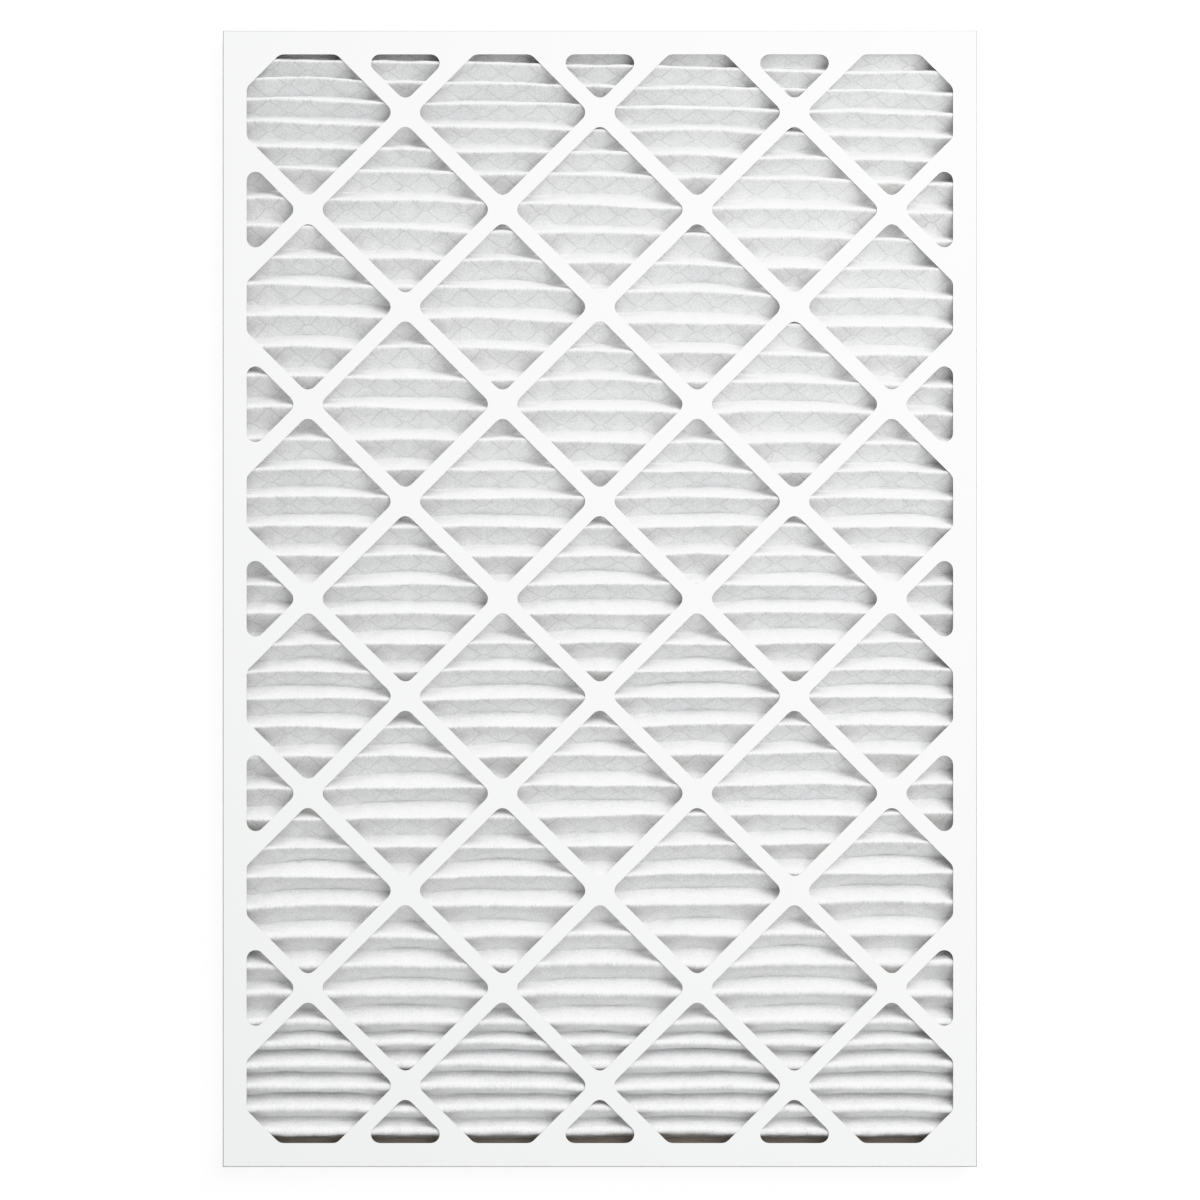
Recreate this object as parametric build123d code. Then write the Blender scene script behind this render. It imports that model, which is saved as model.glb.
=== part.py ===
from build123d import *
import math
import os

# ---------------------------------------------------------------------------------------------------------
# Driving dimensions (mm). X runs along the pleats, Y across them and Z through the filter, which lies on
# its air-leaving face with the air-entering face on top. The origin is at the middle of the underside.
# ---------------------------------------------------------------------------------------------------------
INCH = 25.4
filter_width = 19.75 * INCH         # a nominal 20 x 30 x 1 inch filter is made a quarter inch under
filter_length = 29.75 * INCH
filter_depth = 0.75 * INCH

board_t = 0.7                       # beverage board, 28 thousandths of an inch
fold_inner_r = 0.2                  # inside radius of a folded edge
glue_gap = 0.2                      # film of adhesive between boards that lap each other

border = 16.0                       # solid margin around the lattice
lattice_half_pitch = 64.65          # from a strap crossing to the next window centre, along X or Y
strap_width = 10.1
window_corner_r = 6.0
corner_flat_turn = 22.5             # degrees between the short flats that round a window's corner

glue_tab_length = 18.0              # tab at each end of an end flange, turned inside the long flange
glue_tab_end_gap = 1.0              # from the top edge of the tab to the face of the tray
back_flange_end_gap = 2.0           # from the top edge of the inner flanges to the face of the outer tray

media_t = 1.6                       # nonwoven cloth
mesh_t = 0.4                        # expanded metal, flattened
pleat_count = 40
end_pitch = 14.35                   # the pleats are closer together near both ends
end_interval_count = 5              # how many such intervals there are at each end
first_tip_inset = 22.8              # outermost pleat tips, measured from the outer ends of the filter
last_tip_inset = 26.3
pack_side_gap = 0.3                 # between the cut sides of the pleat pack and the inner flanges
pack_seat_gap = 0.1                 # film of adhesive between the pleats and each board

# ---------------------------------------------------------------------------------------------------------
# Sizes that follow
# ---------------------------------------------------------------------------------------------------------
fold_outer_r = fold_inner_r + board_t
lap = board_t + glue_gap            # how far a board that lies inside another one is set in

opening_width = filter_width - 2 * border
opening_length = filter_length - 2 * border
window_side = lattice_half_pitch * math.sqrt(2) - strap_width

interval_count = pleat_count - 1
middle_interval_count = interval_count - 2 * end_interval_count
tip_span = filter_length - first_tip_inset - last_tip_inset
middle_pitch = (tip_span - 2 * end_interval_count * end_pitch) / middle_interval_count

pack_top = filter_depth - board_t - pack_seat_gap
pack_bottom = board_t + pack_seat_gap
pack_width = filter_width - 2 * (lap + board_t + pack_side_gap)


# ---------------------------------------------------------------------------------------------------------
# The two boards
# ---------------------------------------------------------------------------------------------------------
def grown(core):
    """A convex outline grown by the corner radius. Each corner is rounded in short flats, which keeps the
    faces of over a hundred windows few."""
    middle = core.center()
    corners = sorted(core.vertices(), key=lambda corner: math.atan2(corner.Y - middle.Y, corner.X - middle.X))
    corners = [Vector(corner) for corner in corners]
    points = []
    for before, corner, after in zip(corners[-1:] + corners, corners, corners[1:] + corners[:1]):
        arriving, leaving = corner - before, after - corner
        turn = arriving.get_angle(leaving)
        flats = math.ceil(turn / corner_flat_turn)
        outward = arriving.normalized().rotate(Axis.Z, -90) * window_corner_r
        points += [corner + outward.rotate(Axis.Z, turn * flat / flats) for flat in range(flats + 1)]
    return make_face(Polyline(points, close=True)).face()


def lattice_windows():
    """The windows that the die cuts between the straps, also where the border cuts a window short."""
    core_side = window_side - 2 * window_corner_r
    core_opening = Rectangle(opening_width - 2 * window_corner_r, opening_length - 2 * window_corner_r)
    last_column = math.ceil(opening_width / 2 / lattice_half_pitch)
    last_row = math.ceil(opening_length / 2 / lattice_half_pitch)
    windows = []
    for column in range(-last_column, last_column + 1):
        for row in range(-last_row, last_row + 1):
            if (column + row) % 2:
                continue            # two straps cross here
            centre = Pos(column * lattice_half_pitch, row * lattice_half_pitch)
            core = centre * Rectangle(core_side, core_side, rotation=45) & core_opening
            if core:
                windows.append(grown(core))
    return windows


def folded_tray(width, length, height):
    """A shallow tray of board with its face on top: four flanges folded down from the face."""
    on_floor = (Align.CENTER, Align.CENTER, Align.MIN)
    outside = Box(width, length, height, align=on_floor)
    outside = fillet(outside.faces().sort_by(Axis.Z)[-1].edges(), fold_outer_r)
    inside = Box(width - 2 * board_t, length - 2 * board_t, height - board_t, align=on_floor)
    inside = fillet(inside.faces().sort_by(Axis.Z)[-1].edges(), fold_inner_r)
    return outside - inside


def block(x_limits, y_limits, z_limits):
    """A box between two limits along each axis."""
    limits = (x_limits, y_limits, z_limits)
    size = [high - low for low, high in limits]
    middle = [(high + low) / 2 for low, high in limits]
    return Pos(*middle) * Box(*size)


def at_four_corners(piece):
    """The piece and its mirror images at the other three corners of the filter."""
    both_sides = [piece, mirror(piece, Plane.YZ)]
    return both_sides + [mirror(one, Plane.XZ) for one in both_sides]


def front_board():
    """The outer tray, lattice face on top. At each corner the end flange turns inwards as a tab that is
    glued inside the long flange, and a slit is left between the end flange and the long one's cut edge."""
    tray = folded_tray(filter_width, filter_length, filter_depth)
    tray -= extrude(windows, filter_depth)
    slit = block(
        (filter_width / 2 - lap, filter_width / 2 - board_t),
        (filter_length / 2 - board_t, filter_length / 2),
        (0, filter_depth - fold_outer_r),
    )
    glue_tab = block(
        (filter_width / 2 - lap - board_t, filter_width / 2 - lap),
        (filter_length / 2 - board_t - glue_tab_length, filter_length / 2 - board_t / 2),
        (fold_outer_r + glue_gap, filter_depth - board_t - glue_tab_end_gap),
    )
    return tray - at_four_corners(slit) + at_four_corners(glue_tab)


def back_board():
    """The inner tray, face down, nested between the flanges of the outer one. Its own flanges stop short
    of the corners, to clear the outer tray's glue tabs."""
    flange_height = filter_depth - board_t - back_flange_end_gap
    tray = folded_tray(filter_width - 2 * lap, filter_length - 2 * lap, flange_height)
    tray = Pos(0, 0, flange_height) * mirror(tray, Plane.XY)
    tray -= extrude(windows, board_t)
    tab_clearance = block(
        (filter_width / 2 - lap - board_t - glue_gap, filter_width / 2),
        (filter_length / 2 - board_t - glue_tab_length - glue_gap, filter_length / 2),
        (fold_outer_r, flange_height),
    )
    return tray - at_four_corners(tab_clearance)


# ---------------------------------------------------------------------------------------------------------
# The pleat pack: cloth and expanded metal, folded together along the same creases
# ---------------------------------------------------------------------------------------------------------
def crease_points():
    """Where the surface between cloth and metal is creased, as (y, z). At the +Y end the sheet starts
    under the front board, with one leg before its first full pleat. At the other end the last leg stands
    on the back board."""
    tip_z = pack_top - media_t
    steepest_leg = math.atan2(tip_z - pack_bottom, end_pitch / 2)
    valley_z = pack_bottom + mesh_t / math.cos(steepest_leg)        # room for the metal's sharp outer corner
    y = filter_length / 2 - first_tip_inset
    points = [Vector(y + end_pitch, tip_z), Vector(y + end_pitch / 2, valley_z), Vector(y, tip_z)]
    for interval in range(interval_count):
        from_nearest_end = min(interval, interval_count - 1 - interval)
        pitch = end_pitch if from_nearest_end < end_interval_count else middle_pitch
        points += [Vector(y - pitch / 2, valley_z), Vector(y - pitch, tip_z)]
        y -= pitch
    return points + [Vector(y - end_pitch / 2, valley_z)]


def folded_surface(distance):
    """Edges of the folded surface that lies this far above the creased one, or below it if negative. The
    cloth's own surface goes over each tip as an arc. Elsewhere the legs meet at sharp corners."""
    points = crease_points()
    legs = list(zip(points, points[1:]))
    normals = [(end - start).normalized().rotate(Axis.Z, -90) for start, end in legs]
    edges = []
    place = points[0] + normals[0] * distance
    for (start, crease), normal, next_normal in zip(legs, normals, normals[1:]):
        halfway = (normal + next_normal).normalized()
        is_tip = crease.Y > start.Y
        if is_tip and distance > 0:
            arc_start = crease + normal * distance
            arc_end = crease + next_normal * distance
            edges += [Line(place, arc_start), ThreePointArc(arc_start, crease + halfway * distance, arc_end)]
            place = arc_end
        else:
            corner = crease + halfway * (distance / normal.dot(halfway))
            edges.append(Line(place, corner))
            place = corner
    return edges + [Line(place, points[-1] + normals[-1] * distance)]


def folded_sheet(thickness):
    """A sheet as wide as the pleat pack, lying on the creased surface, or under it if negative."""
    creased, free = folded_surface(0), folded_surface(thickness)
    cut_ends = [Line(creased[0] @ 0, free[0] @ 0), Line(creased[-1] @ 1, free[-1] @ 1)]
    section = make_face(creased + free + cut_ends)
    along_pleats = Plane(origin=(-pack_width / 2, 0, 0), x_dir=(0, 1, 0), z_dir=(1, 0, 0))
    return extrude(along_pleats * section, pack_width)


windows = lattice_windows()
nodes = {
    "front_frame": front_board(),
    "back_frame": back_board(),
    "pleated_media": folded_sheet(media_t),
    "support_mesh": folded_sheet(-mesh_t),
}
os.makedirs("parts", exist_ok=True)
for name, solid in nodes.items():
    export_step(solid, f"parts/{name}.step")
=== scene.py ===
import math

import bpy
import numpy as np
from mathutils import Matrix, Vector


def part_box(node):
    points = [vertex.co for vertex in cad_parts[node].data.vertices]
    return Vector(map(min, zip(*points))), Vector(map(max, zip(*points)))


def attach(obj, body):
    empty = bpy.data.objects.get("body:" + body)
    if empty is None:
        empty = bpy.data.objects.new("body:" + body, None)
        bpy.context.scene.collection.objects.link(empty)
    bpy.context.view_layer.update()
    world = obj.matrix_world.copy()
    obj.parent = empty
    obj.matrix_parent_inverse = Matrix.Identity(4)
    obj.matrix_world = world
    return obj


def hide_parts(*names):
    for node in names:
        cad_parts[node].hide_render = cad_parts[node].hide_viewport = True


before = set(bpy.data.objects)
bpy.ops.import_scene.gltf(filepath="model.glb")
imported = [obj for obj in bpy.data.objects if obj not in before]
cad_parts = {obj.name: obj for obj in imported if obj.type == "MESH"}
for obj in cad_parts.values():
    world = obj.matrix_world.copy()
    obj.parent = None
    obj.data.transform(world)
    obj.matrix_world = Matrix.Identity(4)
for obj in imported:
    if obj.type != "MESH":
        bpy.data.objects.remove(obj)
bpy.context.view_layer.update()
MM = 0.001

# ---------------------------------------------------------------------------------------------------------
# Front board: the outer tray. White coated beverage board, die-cut and folded with the coated side out.
# Its inside is bare brown-grey fibre, and the fibre shows again as a thin line along every cut edge.
# ---------------------------------------------------------------------------------------------------------
coated_white = (0.925, 0.932, 0.940, 1)
coated_shade = (0.890, 0.898, 0.908, 1)
bare_fibre = (0.35, 0.305, 0.265, 1)
bare_fleck = (0.50, 0.45, 0.40, 1)
cut_fibre = (0.70, 0.68, 0.65, 1)
# dark grey of the shade painted along the folds of the coated side, where the tray's outline falls dark
fold_shade_grey = (0.24, 0.24, 0.25, 1)
coated_roughness, bare_roughness = 0.58, 0.88
coating_cover = 0.7                 # share of the fibre's relief that the coating fills
least_fold_shade, most_fold_shade = 0.55, 1.05  # how strongly the shade is painted along a fold, from least to most with the mottle
coated_skin = 0.5 * MM              # a face this near to the tray's outline belongs to the coated side
least_facing = 0.3                  # a face looks a way if at least this much of its normal lies along it
most_upright_tilt = 0.2             # an upright face has at most this much of its normal along Z


def connect(tree, node, inputs):
    """Sets a node's inputs. Each is a value, or the output of another node to link."""
    for key, value in inputs.items():
        if isinstance(value, bpy.types.NodeSocket):
            tree.links.new(value, node.inputs[key])
        else:
            node.inputs[key].default_value = value


def add(tree, kind, inputs=(), **settings):
    """A node with its settings and inputs."""
    node = tree.nodes.new(kind)
    for name, value in settings.items():
        setattr(node, name, value)
    connect(tree, node, dict(inputs))
    return node


def calc(tree, operation, *values):
    """The result of a Math node on values or outputs."""
    return add(tree, "ShaderNodeMath", enumerate(values), operation=operation).outputs[0]


def weighted_sum(tree, *terms):
    """Outputs times their weights, added up."""
    total = 0.0
    for output, weight in terms:
        total = calc(tree, "MULTIPLY_ADD", output, weight, total)
    return total


def mapped(tree, value, first, last, at_first=0.0, at_last=1.0, curve="LINEAR"):
    """A value carried over from one range to another, and held at its ends."""
    return add(tree, "ShaderNodeMapRange", {
        "Value": value, "From Min": first, "From Max": last, "To Min": at_first, "To Max": at_last},
        interpolation_type=curve).outputs[0]


def blend_colours(tree, factor, first, second):
    """The colour sockets of a Mix node are inputs 6 and 7 and output 2."""
    return add(tree, "ShaderNodeMix", {0: factor, 6: first, 7: second}, data_type="RGBA").outputs[2]


def parts_of(tree, vector):
    """The X, Y and Z outputs of a vector."""
    return add(tree, "ShaderNodeSeparateXYZ", {0: vector}).outputs


def object_place(tree):
    return add(tree, "ShaderNodeTexCoord").outputs["Object"]


def surface_normal(tree):
    return add(tree, "ShaderNodeNewGeometry").outputs["Normal"]


def noise(tree, place, scale, detail, distortion=0.0):
    return add(tree, "ShaderNodeTexNoise", {
        "Vector": place, "Scale": scale, "Detail": detail, "Distortion": distortion}).outputs[0]


def relief(tree, height, strength, depth):
    return add(tree, "ShaderNodeBump", {"Strength": strength, "Distance": depth, "Height": height}).outputs[0]


def new_material(name):
    material = bpy.data.materials.new(name)
    material.use_nodes = True
    return material, material.node_tree, material.node_tree.nodes["Principled BSDF"]


def coated_faces(tree, low, high, face_sign):
    """Three masks: a tray's coated side, which is its face and the outside of its flanges; its upright
    surfaces; and its scored folds, which carry a line of painted shade."""
    place = parts_of(tree, object_place(tree))
    facing = parts_of(tree, surface_normal(tree))
    from_face = calc(tree, "SUBTRACT", place[2], high[2] if face_sign > 0 else low[2])
    near = calc(tree, "LESS_THAN", calc(tree, "ABSOLUTE", from_face), coated_skin)
    up = calc(tree, "GREATER_THAN", calc(tree, "MULTIPLY", facing[2], face_sign), least_facing)
    coated = calc(tree, "MULTIPLY", near, up)
    for axis in (0, 1):
        outward = calc(tree, "MULTIPLY", calc(tree, "SIGN", place[axis]), facing[axis])
        skin_start = high[axis] - coated_skin
        near = calc(tree, "GREATER_THAN", calc(tree, "ABSOLUTE", place[axis]), skin_start)
        flange = calc(tree, "MULTIPLY", near, calc(tree, "GREATER_THAN", outward, least_facing))
        coated = calc(tree, "MAXIMUM", coated, flange)
    tilts = [calc(tree, "ABSOLUTE", facing[axis]) for axis in (0, 1, 2)]
    upright = calc(tree, "LESS_THAN", tilts[2], most_upright_tilt)
    bend = calc(tree, "MINIMUM", tilts[2], calc(tree, "MAXIMUM", tilts[0], tilts[1]))
    bend = mapped(tree, bend, 0.05, 0.2, curve="SMOOTHSTEP")
    return coated, upright, calc(tree, "MULTIPLY", bend, coated)


def board_material(name, node_name, face_sign):
    """Board for a tray whose coated face looks up, with the sign +1, or down, with -1."""
    material, tree, shader = new_material(name)
    coated, upright, fold = coated_faces(tree, *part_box(node_name), face_sign)
    place = object_place(tree)
    mottle = noise(tree, place, scale=420, detail=3)
    cloud = noise(tree, place, scale=14, detail=2)
    fibre = noise(tree, place, scale=900, detail=4, distortion=1.5)
    shade = weighted_sum(tree, (cloud, 0.6), (mottle, 0.4))
    bare = blend_colours(tree, fibre, bare_fibre, bare_fleck)
    bare = blend_colours(tree, upright, bare, cut_fibre)
    colour = blend_colours(tree, coated, bare, blend_colours(tree, shade, coated_shade, coated_white))
    # Painted shade: a dark grey line along the folds, stronger or weaker with the mottle.
    fold_shade_amount = calc(tree, "MULTIPLY_ADD", mottle, most_fold_shade - least_fold_shade, least_fold_shade)
    colour = blend_colours(tree, calc(tree, "MULTIPLY", fold, fold_shade_amount), colour, fold_shade_grey)
    grain = calc(tree, "MULTIPLY", fibre, calc(tree, "MULTIPLY_ADD", coated, -coating_cover, 1.0))
    roughness = calc(tree, "MULTIPLY_ADD", coated, coated_roughness - bare_roughness, bare_roughness)
    connect(tree, shader, {
        "Base Color": colour, "Roughness": roughness, "Normal": relief(tree, grain, 0.35, 0.05 * MM)})
    return material


def dress(node_name, material):
    """A piece whose shape is right as it is takes its finish here."""
    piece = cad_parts[node_name]
    piece.data.materials.clear()
    piece.data.materials.append(material)


dress("front_frame", board_material("front_board_coated_out", "front_frame", 1))

# ---------------------------------------------------------------------------------------------------------
# Back board: the inner tray, cut with the same die from the same board and folded the other way up, so
# that its coated side looks down. The pleats hide most of its bare inside.
# ---------------------------------------------------------------------------------------------------------
dress("back_frame", board_material("back_board_coated_down", "back_frame", -1))

# ---------------------------------------------------------------------------------------------------------
# Filter cloth: one sheet of white nonwoven fibre, scored and folded into pleats with expanded metal behind
# it. The straps of both boards are glued to its folds, and it bellies out a little in the windows between.
# ---------------------------------------------------------------------------------------------------------
board_low, board_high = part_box("front_frame")
pack_low, pack_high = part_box("pleated_media")
border = 16.0 * MM
half_pitch = 64.65 * MM             # of the lattice of straps, along X or Y
strap_width = 10.1 * MM
strap_hold = 24 * MM                # how far into a window the straps hold the cloth back

cloth_t = 1.6 * MM
tip_pinch = 0.6 * MM                # how much thinner the cloth is where a tip is creased
tip_r = 0.3 * MM                    # of the cloth's underside, inside a tip
soft_tip_r = 1.1 * MM               # the same on the last pleats, which are rounder and not pinched
soft_from_y, soft_full_y = -165 * MM, -270 * MM
valley_r = 2.0 * MM                 # of the cloth's underside, round the bottom of a valley
valley_bottom = 1.35 * MM
pleat_count = 40
end_pitch = 14.35 * MM              # the pleats are closer together near both ends
end_interval_count = 5
first_tip_y = board_high.y - 22.8 * MM
last_tip_y = board_low.y + 26.3 * MM
last_leg_reach = 6.8 * MM           # the sheet's last leg comes down on the border of the back board

leg_rows = (0.07, 0.55)             # places of the mesh's rows down a leg, from its tip
tip_row_count, valley_row_count = 4, 3
column_count = 145                  # odd, because the underside uses every second one

diamond_length = 26.0 * MM          # openings of the metal, along the pleats and along the unfolded sheet
diamond_width = 21.6 * MM
bond_length = 3.2 * MM
half_length, half_width, half_bond = diamond_length / 2, diamond_width / 2, bond_length / 2
strand_run = half_length - bond_length
strand_length = math.hypot(strand_run, half_width)
net_half_count = 19                 # half diamonds from the middle of the net to either side
first_bond_x = -net_half_count * half_length
strand_dimple = 0.45 * MM           # how far the cloth is drawn in over a strand
strand_dimple_reach = 5 * MM


def smooth_step(value):
    value = np.clip(value, 0, 1)
    return value * value * (3 - 2 * value)


def pleat_folds():
    """The folds' arcs: the centre's y and z, +1 for a tip or -1 for a valley, the radius of the cloth's
    underside, and how much thinner the cloth is there."""
    def tip(y):
        softness = smooth_step((y - soft_from_y) / (soft_full_y - soft_from_y))
        radius = tip_r + (soft_tip_r - tip_r) * softness
        pinch = tip_pinch * (1 - softness)
        return y, pack_high.z - (cloth_t - pinch) - radius, 1, radius, pinch

    def valley(y):
        return y, valley_bottom + valley_r, -1, valley_r, 0

    middle_count = pleat_count - 1 - 2 * end_interval_count
    middle_pitch = (first_tip_y - last_tip_y - 2 * end_interval_count * end_pitch) / middle_count
    y = first_tip_y
    folds = [tip(y + end_pitch), valley(y + end_pitch / 2), tip(y)]
    for interval in range(pleat_count - 1):
        from_nearest_end = min(interval, pleat_count - 2 - interval)
        pitch = end_pitch if from_nearest_end < end_interval_count else middle_pitch
        folds += [valley(y - pitch / 2), tip(y - pitch)]
        y -= pitch
    return folds + [valley(y - last_leg_reach)]


def folded_line(folds):
    """The underside of the cloth in the YZ plane: rows of points, the direction and the distance of the upper
    side at each, and how far along the unfolded sheet it is. Each leg is the common tangent of two arcs."""
    leg_angles = []
    for (y0, z0, side, radius, _), (y1, z1, _, next_radius, _) in zip(folds, folds[1:]):
        lean = math.asin((radius + next_radius) / math.hypot(y1 - y0, z1 - z0))
        leg_angles.append(math.atan2(z1 - z0, y1 - y0) % math.tau + side * lean - math.pi / 2)
    rows = []
    for index, (y, z, side, radius, pinch) in enumerate(folds):
        arriving = leg_angles[max(index - 1, 0)]
        leaving = leg_angles[min(index, len(leg_angles) - 1)]
        is_cut_end = index in (0, len(folds) - 1)
        arc_row_count = 1 if is_cut_end else tip_row_count if side > 0 else valley_row_count
        for angle in np.linspace(arriving, leaving, arc_row_count):
            up = np.array((math.cos(angle), math.sin(angle)))
            rows.append((np.array((y, z)) + up * radius * side, up, cloth_t - pinch))
        if index == len(leg_angles):
            break                   # no leg follows the last fold
        next_y, next_z, next_side, next_radius, next_pinch = folds[index + 1]
        up = np.array((math.cos(leaving), math.sin(leaving)))
        leg_start = rows[-1][0]
        leg = np.array((next_y, next_z)) + up * next_radius * next_side - leg_start
        for from_tip in leg_rows if side > 0 else reversed(leg_rows):
            share = from_tip if side > 0 else 1 - from_tip
            thinning = max(pinch, next_pinch) * (1 - from_tip) ** 4
            rows.append((leg_start + leg * share, up, cloth_t - thinning))
    points, ups, thicknesses = (np.array(column) for column in zip(*rows))
    steps = np.linalg.norm(np.diff(points, axis=0), axis=1)
    return points, ups, thicknesses, np.concatenate([[0], np.cumsum(steps)])


def window_room(x, y):
    """0 under the straps and the border, rising to 1 well inside a window."""
    strap_spacing = half_pitch * math.sqrt(2)
    inside = np.minimum((board_high.x - border) - np.abs(x), (board_high.y - border) - np.abs(y))
    for across in ((x + y) / math.sqrt(2), (x - y) / math.sqrt(2)):
        from_middle = np.abs(across - strap_spacing * np.round(across / strap_spacing))
        inside = np.minimum(inside, (strap_spacing - strap_width) / 2 - from_middle)
    return smooth_step(inside / strap_hold)


folds = pleat_folds()
tip_line = np.array([fold[0] for fold in folds if fold[2] > 0])
valley_line = np.array([fold[0] for fold in folds if fold[2] < 0])
pitch_max = -np.diff(tip_line).min()

wander = np.random.default_rng(7)
wave_lengths = np.array((310, 170, 96, 61)) * MM
wave_heights = np.array((0.45, 0.40, 0.28, 0.16)) * MM
tip_phases = wander.uniform(0, math.tau, (len(tip_line), 4))
valley_phases = wander.uniform(0, math.tau, (len(valley_line), 4))
tip_offsets = wander.uniform(-0.5, 0.5, len(tip_line)) * MM
valley_offsets = wander.uniform(-0.9, 0.9, len(valley_line)) * MM

# The pleats were glued a little out of place along Y. Between these stations the shift changes evenly.
drift_stations = np.array((-352, -300, -240, -185, -144, -105, -66, -27,
                           0, 50, 108, 150, 206, 283, 326, 355)) * MM
drift_shifts = np.array((-3.0, -1.5, -2.6, -1.3, -1.6, 1.2, 0.4, -2.1,
                         -1.6, -2.7, -3.3, -1.1, 0.5, -1.0, 2.2, 0.7)) * MM
skew_stations = np.array((-300, -160, -20, 60, 200)) * MM
skew_slopes = np.array((0, -0.010, -0.002, 0, 0.021))   # the first pleats lie slightly askew
skew_pivot_x = -65.7 * MM
ridge_arch = 0.4 * MM               # a tip's way towards +Y in the middle of a window
tip_belly, valley_belly = 0.62 * MM, 0.45 * MM          # a tip's rise and a valley's fall in the same place
leg_belly = 0.7 * MM                # how far a leg bows out, which is less where the pleats are close
held_belly = 0.3                    # the share of it that is left under a strap
belly_along, belly_up = 0.87, 0.5   # the share of it that goes along Y and up
lean_in_window = 1.2 * MM           # how far a valley lies towards -Y of the middle between two tips,
lean_at_strap = 3.8 * MM            # which is also less where the pleats are close
end_stop_y = board_high.y - 2.6 * MM


def wandering(x, y, lines, phases, offsets):
    """How far the pleat folds near y stray at x, blended from one fold to the next."""
    position = np.interp(-y, -lines, np.arange(len(lines)))
    below = np.clip(np.floor(position).astype(int), 0, len(lines) - 2)
    share = position - below
    result = 0
    for fold, weight in ((below, 1 - share), (below + 1, share)):
        waves = sum(height * np.sin(math.tau * x / length + phases[fold, wave])
                    for wave, (length, height) in enumerate(zip(wave_lengths, wave_heights)))
        result = result + weight * (offsets[fold] + waves)
    return result


def settled(x, y, z):
    """Where a point of the even pleat pack lies in the glued filter."""
    height = np.clip((z - valley_bottom) / (pack_high.z - valley_bottom), 0, 1)
    room = window_room(x, y)
    nearest = np.round(np.interp(-y, -tip_line, np.arange(len(tip_line)))).astype(int)
    side = np.sign(y - tip_line[nearest])
    openness = (np.interp(-y, -tip_line[1:], -np.diff(tip_line)) / pitch_max) ** 2

    shift = np.interp(y, drift_stations, drift_shifts)
    shift = shift - np.interp(y, skew_stations, skew_slopes) * (x - skew_pivot_x)
    shift = shift + height * wandering(x, y, tip_line, tip_phases, tip_offsets)
    shift = shift + (1 - height) * wandering(x, y, valley_line, valley_phases, valley_offsets)
    shift = shift + ridge_arch * room * height
    lean = lean_at_strap + (lean_in_window - lean_at_strap) * room
    shift = shift - lean * openness * (1 - height)

    lift = room * (tip_belly * height ** 2 - valley_belly * (1 - height) ** 2)
    belly = leg_belly * openness * (held_belly + (1 - held_belly) * room) * 4 * height * (1 - height)
    shift = shift + belly_along * belly * side
    lift = lift + belly_up * belly
    return x, np.clip(y + shift, -end_stop_y, end_stop_y), z + lift


def there_and_back(value, reach):
    """Rises from 0 to the reach and falls again, as a Math node's Ping-Pong does."""
    return reach - np.abs(value % (2 * reach) - reach)


def from_strand(x, along):
    """Distance to the nearest strand of the metal in the unfolded sheet. Each half diamond mirrors the next
    one, so that every strand runs from one corner of its half to the other, with half a bond at each."""
    across = there_and_back(x - first_bond_x, half_length)
    up = there_and_back(along, half_width)
    strand = np.abs((across - half_bond) * half_width - up * strand_run) / strand_length
    lower_bond = np.maximum(up, across - half_bond)
    upper_bond = np.maximum(half_width - up, half_length - half_bond - across)
    return np.minimum(strand, np.minimum(lower_bond, upper_bond))


def plain_mesh(name, vertices, faces, material):
    mesh = bpy.data.meshes.new(name)
    mesh.from_pydata(vertices, [], faces)
    mesh.materials.append(material)
    mesh.polygons.foreach_set("use_smooth", [True] * len(mesh.polygons))
    piece = bpy.data.objects.new(name, mesh)
    bpy.context.scene.collection.objects.link(piece)
    return piece


cloth_white = (0.92, 0.922, 0.925, 1)
cloth_shade = (0.70, 0.705, 0.71, 1)
# Painted shadow: the grey lines stand for the shadow the strands cast in the light coming through the cloth
strand_shadow_grey = (0.62, 0.62, 0.62, 1)
strand_shadow_strength = 0.55                 # how dark that painted strand shadow is on the cloth
strand_shadow_widths = (0.15 * MM, 0.8 * MM)                     # half widths of its full and its faded line
strand_wobble = 1.6 * MM
strand_shadow_fade_y = (-130 * MM, -250 * MM)                  # the painted strand shadows fade out between these


def strand_shadow_lines(tree, flat):
    """A mask of the strands' painted shadow in the light that comes through the cloth, laid as from_strand
    lays the strands. It is painted on the side of a pleat that faces -Y, away from the lamps, and less
    towards that end of the filter."""
    spot = parts_of(tree, flat)
    wobble = calc(tree, "SUBTRACT", noise(tree, flat, scale=160, detail=1), 0.5)
    wobble = calc(tree, "MULTIPLY", wobble, strand_wobble)
    across = calc(tree, "ADD", calc(tree, "SUBTRACT", spot[0], first_bond_x), wobble)
    across = calc(tree, "PINGPONG", across, half_length)
    up = calc(tree, "PINGPONG", calc(tree, "ADD", spot[1], wobble), half_width)
    strand = calc(tree, "SUBTRACT", calc(tree, "MULTIPLY", across, half_width / strand_length),
                  calc(tree, "MULTIPLY", up, strand_run / strand_length))
    strand = calc(tree, "ABSOLUTE", calc(tree, "SUBTRACT", strand, half_bond * half_width / strand_length))
    lower_bond = calc(tree, "MAXIMUM", up, calc(tree, "SUBTRACT", across, half_bond))
    upper_bond = calc(tree, "MAXIMUM", calc(tree, "SUBTRACT", half_width, up),
                      calc(tree, "SUBTRACT", half_length - half_bond, across))
    distance = calc(tree, "MINIMUM", strand, calc(tree, "MINIMUM", lower_bond, upper_bond))
    line = mapped(tree, distance, *strand_shadow_widths, 1.0, 0.0, curve="SMOOTHSTEP")
    facing_away = mapped(tree, parts_of(tree, surface_normal(tree))[1], -0.1, -0.6, 0.12, 1.0)
    shadow_fade_towards_end = mapped(tree, parts_of(tree, object_place(tree))[1], *strand_shadow_fade_y, 1.0, 0.3)
    return calc(tree, "MULTIPLY", calc(tree, "MULTIPLY", line, facing_away), shadow_fade_towards_end)


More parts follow.
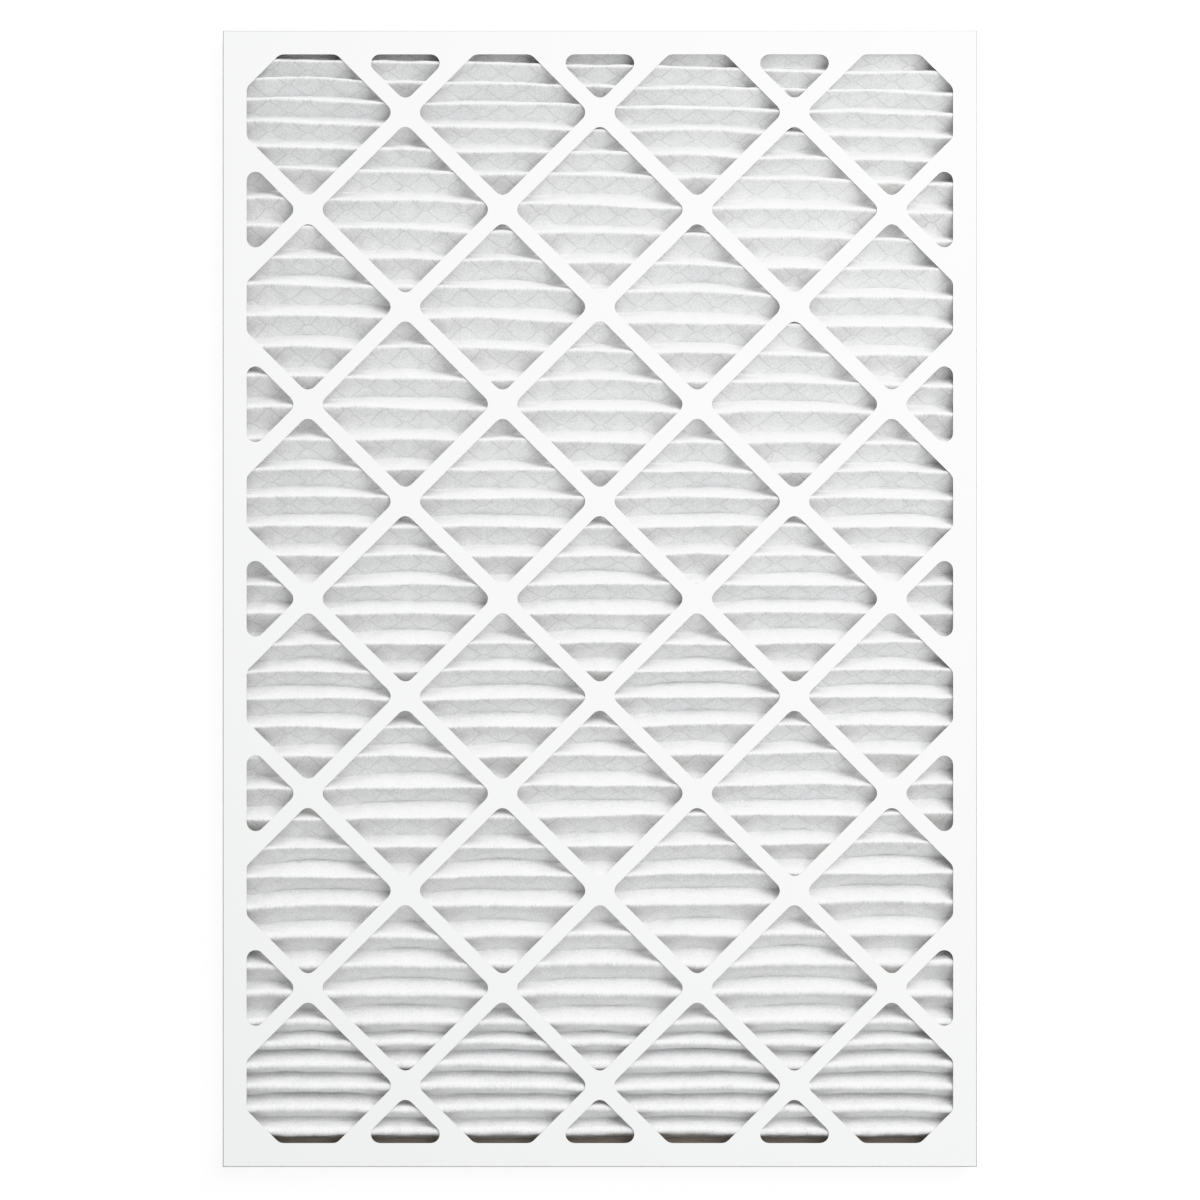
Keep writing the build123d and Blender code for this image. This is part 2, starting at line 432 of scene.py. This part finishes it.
def cloth_material():
    material, tree, shader = new_material("nonwoven_cloth")
    flat = add(tree, "ShaderNodeUVMap", uv_map="flat_cloth").outputs[0]
    strand = strand_shadow_lines(tree, flat)
    fibre = noise(tree, flat, scale=820, detail=3, distortion=1.2)
    clump = noise(tree, flat, scale=120, detail=3)
    cloud = noise(tree, flat, scale=22, detail=2)
    felt = weighted_sum(tree, (fibre, 0.7), (clump, 0.18), (cloud, 0.12))
    colour = blend_colours(tree, mapped(tree, felt, 0.36, 0.58), cloth_shade, cloth_white)
    # Painted shadow of the strands, greyed into the cloth's colour; the bump below uses the same mask.
    colour = blend_colours(tree, calc(tree, "MULTIPLY", strand, strand_shadow_strength), colour, strand_shadow_grey)
    height = weighted_sum(tree, (felt, 0.2), (strand, -0.16))
    connect(tree, shader, {
        "Base Color": colour, "Normal": relief(tree, height, 0.8, 1.0 * MM), "Roughness": 0.95,
        "Specular IOR Level": 0.2, "Sheen Weight": 0.1})
    return material


def grid_faces(row_count, columns, first, flipped):
    """Quads between the points of a grid, which are numbered row by row from the first."""
    rows = np.arange(row_count - 1)[:, None] * columns
    corner = (first + rows + np.arange(columns - 1)[None, :]).ravel()
    quad = np.stack([corner, corner + 1, corner + columns + 1, corner + columns], axis=1)
    return quad[:, ::-1] if flipped else quad


def as_points(*coordinates):
    """Grids of coordinates, one to an axis, as rows of points."""
    return np.stack(np.broadcast_arrays(*coordinates), axis=-1).reshape(-1, len(coordinates))


def folded_cloth():
    """A closed sheet: an upper grid, an under grid with half the columns, and their edges joined."""
    line, ups, thicknesses, along = folded_line(folds)
    line_y, line_z, ups_y, ups_z = line[:, :1], line[:, 1:], ups[:, :1], ups[:, 1:]
    row_count = len(line)
    columns = np.linspace(pack_low.x, pack_high.x, column_count)
    under_columns = columns[::2]
    under_count = len(under_columns)

    dimples = 1 - smooth_step(from_strand(columns, along[:, None]) / strand_dimple_reach)
    thickness = thicknesses[:, None] - strand_dimple * dimples
    upper = settled(columns, line_y + ups_y * thickness, line_z + ups_z * thickness)
    under = settled(under_columns, line_y, line_z)
    vertices = np.concatenate([as_points(*upper), as_points(*under)])
    flat = np.concatenate([as_points(columns, along[:, None]), as_points(under_columns, along[:, None])])

    first_under = row_count * column_count
    rows = np.arange(row_count - 1)
    low_x, low_under = rows * column_count, first_under + rows * under_count
    high_x, high_under = low_x + column_count - 1, low_under + under_count - 1
    groups = (
        grid_faces(row_count, column_count, 0, True),
        grid_faces(row_count, under_count, first_under, False),
        np.stack([low_x, low_x + column_count, low_under + under_count, low_under], axis=1),
        np.stack([high_x, high_under, high_under + under_count, high_x + column_count], axis=1),
    )
    faces = [face for group in groups for face in group.tolist()]
    for row, turned in ((0, False), (row_count - 1, True)):
        for step in range(under_count - 1):
            top = row * column_count + 2 * step
            bottom = first_under + row * under_count + step
            end_face = [top, top + 1, top + 2, bottom + 1, bottom]
            faces.append(end_face[::-1] if turned else end_face)

    cloth = plain_mesh("pleated_cloth", vertices.tolist(), faces, cloth_material())
    layer = cloth.data.uv_layers.new(name="flat_cloth")
    corners = np.zeros(len(cloth.data.loops), dtype=int)
    cloth.data.loops.foreach_get("vertex_index", corners)
    layer.data.foreach_set("uv", flat[corners].ravel())
    return cloth, along[-1]


pleated_cloth, sheet_length = folded_cloth()
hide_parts("pleated_media")
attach(pleated_cloth, "root")

# ---------------------------------------------------------------------------------------------------------
# Expanded metal: galvanised steel sheet, slit, pulled open into diamonds and rolled flat. It is bonded
# behind the cloth and folded with it, so its strands climb up one side of every pleat and down the other.
# ---------------------------------------------------------------------------------------------------------
strand_width = 0.95 * MM
strand_t = 0.4 * MM
strand_offset = -0.35 * MM          # from the cloth's underside to the middle of a strand
galvanised = (0.60, 0.61, 0.62, 1)
galvanised_dark = (0.44, 0.45, 0.47, 1)


def metal_material():
    material, tree, shader = new_material("galvanised_steel")
    place = object_place(tree)
    spangle = add(tree, "ShaderNodeTexVoronoi", {"Vector": place, "Scale": 420}).outputs["Distance"]
    rolled = noise(tree, place, scale=1500, detail=2)
    connect(tree, shader, {
        "Base Color": blend_colours(tree, spangle, galvanised, galvanised_dark),
        "Roughness": calc(tree, "MULTIPLY_ADD", spangle, 0.25, 0.3),
        "Normal": relief(tree, rolled, 0.3, 0.03 * MM), "Metallic": 1.0})
    return material


def expanded_metal_tree():
    """Lays a bar of metal across each half diamond of a flat net and a short one in each bond between
    diamonds, then folds the net along a curve."""
    tree = bpy.data.node_groups.new("expanded_metal", "GeometryNodeTree")
    sizes = ("Diamond length", "Diamond width", "Bond length", "Strand width", "Strand thickness",
             "Net width", "Net length")
    tree.interface.new_socket("Crease line", in_out="INPUT", socket_type="NodeSocketGeometry")
    for name in sizes:
        tree.interface.new_socket(name, in_out="INPUT", socket_type="NodeSocketFloat")
    tree.interface.new_socket("Finish", in_out="INPUT", socket_type="NodeSocketMaterial")
    tree.interface.new_socket("Metal", in_out="OUTPUT", socket_type="NodeSocketGeometry")
    given = tree.nodes.new("NodeGroupInput").outputs

    half_cell_x = calc(tree, "DIVIDE", given["Diamond length"], 2.0)
    half_cell_y = calc(tree, "DIVIDE", given["Diamond width"], 2.0)
    columns = calc(tree, "ROUND", calc(tree, "DIVIDE", given["Net width"], half_cell_x))
    rows = calc(tree, "FLOOR", calc(tree, "DIVIDE", given["Net length"], half_cell_y))

    def bars(extra, length, segments, turn=None):
        """One bar at each point of a grid, extra points more each way than there are half diamonds. With a
        turn, neighbours are turned opposite ways. Without one, every second point stays empty."""
        count_x, count_y = calc(tree, "ADD", columns, extra), calc(tree, "ADD", rows, extra)
        step_x, step_y = calc(tree, "SUBTRACT", count_x, 1.0), calc(tree, "SUBTRACT", count_y, 1.0)
        grid = add(tree, "GeometryNodeMeshGrid", {
            "Size X": calc(tree, "MULTIPLY", step_x, half_cell_x),
            "Size Y": calc(tree, "MULTIPLY", step_y, half_cell_y),
            "Vertices X": count_x, "Vertices Y": count_y}).outputs["Mesh"]
        cell = parts_of(tree, tree.nodes.new("GeometryNodeInputPosition").outputs[0])
        from_middle = [calc(tree, "DIVIDE", cell[0], half_cell_x), calc(tree, "DIVIDE", cell[1], half_cell_y)]
        column = calc(tree, "ADD", from_middle[0], calc(tree, "MULTIPLY", step_x, 0.5))
        row = calc(tree, "ADD", from_middle[1], calc(tree, "MULTIPLY", step_y, 0.5))
        total = calc(tree, "ADD", calc(tree, "ROUND", column), calc(tree, "ROUND", row))
        is_odd = calc(tree, "GREATER_THAN", calc(tree, "FLOORED_MODULO", total, 2.0), 0.5)
        size = add(tree, "ShaderNodeCombineXYZ", {
            0: length, 1: given["Strand width"], 2: given["Strand thickness"]}).outputs[0]
        bar = add(tree, "GeometryNodeMeshCube", {
            "Size": size, "Vertices X": segments + 1, "Vertices Y": 2, "Vertices Z": 2}).outputs["Mesh"]
        placed = {"Points": grid, "Instance": bar}
        if turn is None:
            placed["Selection"] = calc(tree, "SUBTRACT", 1.0, is_odd)
        else:
            turn = calc(tree, "MULTIPLY", turn, calc(tree, "MULTIPLY_ADD", is_odd, -2.0, 1.0))
            placed["Rotation"] = add(tree, "ShaderNodeCombineXYZ", {2: turn}).outputs[0]
        return add(tree, "GeometryNodeInstanceOnPoints", placed).outputs[0]

    run = calc(tree, "SUBTRACT", half_cell_x, given["Bond length"])
    arm_length = calc(tree, "SQRT", calc(tree, "ADD", calc(tree, "MULTIPLY", run, run),
                                         calc(tree, "MULTIPLY", half_cell_y, half_cell_y)))
    arm_length = calc(tree, "ADD", arm_length, calc(tree, "MULTIPLY", given["Strand width"], 0.5))
    arms = bars(0.0, arm_length, segments=3, turn=calc(tree, "ARCTAN2", half_cell_y, run))
    bonds = bars(1.0, calc(tree, "ADD", given["Bond length"], given["Strand width"]), segments=1)
    joined = tree.nodes.new("GeometryNodeJoinGeometry")
    tree.links.new(arms, joined.inputs[0])
    tree.links.new(bonds, joined.inputs[0])
    flat = add(tree, "GeometryNodeRealizeInstances", {0: joined.outputs[0]}).outputs[0]

    spot = parts_of(tree, tree.nodes.new("GeometryNodeInputPosition").outputs[0])
    middle = calc(tree, "MULTIPLY", calc(tree, "MULTIPLY", rows, 0.5), half_cell_y)
    crease = add(tree, "GeometryNodeSampleCurve", {
        0: given["Crease line"], "Length": calc(tree, "ADD", spot[1], middle)}, mode="LENGTH")
    along_pleat = add(tree, "ShaderNodeCombineXYZ", {0: spot[0]}).outputs[0]
    normal = add(tree, "ShaderNodeVectorMath", {0: crease.outputs["Tangent"], 1: (1, 0, 0)},
                 operation="CROSS_PRODUCT").outputs[0]
    off = add(tree, "ShaderNodeVectorMath", {0: normal, "Scale": spot[2]}, operation="SCALE").outputs[0]
    place = add(tree, "ShaderNodeVectorMath", {0: crease.outputs["Position"], 1: along_pleat}).outputs[0]
    place = add(tree, "ShaderNodeVectorMath", {0: place, 1: off}).outputs[0]
    folded = add(tree, "GeometryNodeSetPosition", {"Geometry": flat, "Position": place}).outputs[0]
    finished = add(tree, "GeometryNodeSetMaterial", {"Geometry": folded, "Material": given["Finish"]})
    tree.links.new(finished.outputs[0], tree.nodes.new("NodeGroupOutput").inputs[0])
    return tree


def support_metal():
    """The folded net as a plain mesh, settled with the cloth."""
    line, ups, _, _ = folded_line(folds)
    path = line + ups * strand_offset
    curve = bpy.data.curves.new("crease_line", "CURVE")
    curve.dimensions = "3D"
    spline = curve.splines.new("POLY")
    spline.points.add(len(path) - 1)
    spline.points.foreach_set("co", [value for y, z in path for value in (0, y, z, 1)])
    carrier = bpy.data.objects.new("crease_line", curve)
    bpy.context.scene.collection.objects.link(carrier)

    tree = expanded_metal_tree()
    modifier = carrier.modifiers.new("expanded_metal", "NODES")
    modifier.node_group = tree
    values = {
        "Diamond length": diamond_length, "Diamond width": diamond_width, "Bond length": bond_length,
        "Strand width": strand_width, "Strand thickness": strand_t, "Net width": -2 * first_bond_x,
        "Net length": float(np.linalg.norm(np.diff(path, axis=0), axis=1).sum()), "Finish": metal_material()}
    for socket in tree.interface.items_tree:
        if socket.name in values:
            modifier[socket.identifier] = values[socket.name]
    graph = bpy.context.evaluated_depsgraph_get()
    mesh = bpy.data.meshes.new_from_object(carrier.evaluated_get(graph))
    bpy.data.objects.remove(carrier)

    places = np.zeros(len(mesh.vertices) * 3)
    mesh.vertices.foreach_get("co", places)
    places = as_points(*settled(*places.reshape(-1, 3).T))
    mesh.vertices.foreach_set("co", places.ravel())
    mesh.name = "expanded_metal"
    piece = bpy.data.objects.new("expanded_metal", mesh)
    bpy.context.scene.collection.objects.link(piece)
    return piece


expanded_metal = support_metal()
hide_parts("support_mesh")
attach(expanded_metal, "root")

# ---------------------------------------------------------------------------------------------------------
# Studio: a white table, a soft box overhead to the upper right, wide daylight from the same side, and white
# walls all round that fill the shadows. The camera looks straight down on the filter.
# ---------------------------------------------------------------------------------------------------------
table_white, table_bright = (0.93, 0.93, 0.93, 1), (0.97, 0.97, 0.97, 1)
table_glow = 0.55
table_half = 6.0
wall_white = (1, 1, 1, 1)
wall_light = 0.47

table_material, tree, shader = new_material("white_table")
grain = noise(tree, object_place(tree), scale=60, detail=3)
connect(tree, shader, {
    "Base Color": blend_colours(tree, grain, table_white, table_bright), "Roughness": 0.9,
    "Emission Color": (1, 1, 1, 1), "Emission Strength": table_glow})
corners = [(x * table_half, y * table_half, 0) for x, y in ((-1, -1), (1, -1), (1, 1), (-1, 1))]
table = plain_mesh("table", corners, [(0, 1, 2, 3)], table_material)

world = bpy.data.worlds.new("studio_walls")
world.use_nodes = True
walls = world.node_tree.nodes["Background"]
walls.inputs["Color"].default_value = wall_white
walls.inputs["Strength"].default_value = wall_light
bpy.context.scene.world = world


def lamp(name, kind, place, energy, **settings):
    """A lamp at a place, turned to the middle of the filter."""
    data = bpy.data.lights.new(name, kind)
    data.energy = energy
    for setting, value in settings.items():
        setattr(data, setting, value)
    piece = bpy.data.objects.new(name, data)
    piece.location = place
    piece.rotation_euler = Vector(place).to_track_quat("Z", "Y").to_euler()
    bpy.context.scene.collection.objects.link(piece)


lamp("overhead_softbox", "AREA", (0.48, 0.42, 0.95), 7.2, shape="SQUARE", size=0.8)
lamp("wide_daylight", "SUN", (0.60, 0.95, 0.75), 1.6, angle=math.radians(65))

face_distance = 1.5
view_width = 0.7973                 # of the square picture, at the front board's face
view_middle = (0.07 * MM, -0.83 * MM)
camera_data = bpy.data.cameras.new("camera")
camera_data.lens = camera_data.sensor_width * face_distance / view_width
camera = bpy.data.objects.new("camera", camera_data)
camera.location = (*view_middle, board_high.z + face_distance)
bpy.context.scene.collection.objects.link(camera)
bpy.context.scene.camera = camera

# White on white is exposed brightly: the greys are lifted, and the curve bends over before the table's white.
brightest = 2.0                     # light at the right end of the curve
tone_points = ((0.05, 0.10), (0.10, 0.215), (0.15, 0.335), (0.22, 0.48), (0.30, 0.63), (0.38, 0.775),
               (0.46, 0.885), (0.52, 0.94), (0.60, 0.972), (0.72, 1.0))
view = bpy.context.scene.view_settings
view.view_transform = "Standard"
view.use_curve_mapping = True
view.curve_mapping.white_level = (brightest,) * 3
for received, shown in tone_points:
    view.curve_mapping.curves[3].points.new(received, shown)
view.curve_mapping.update()
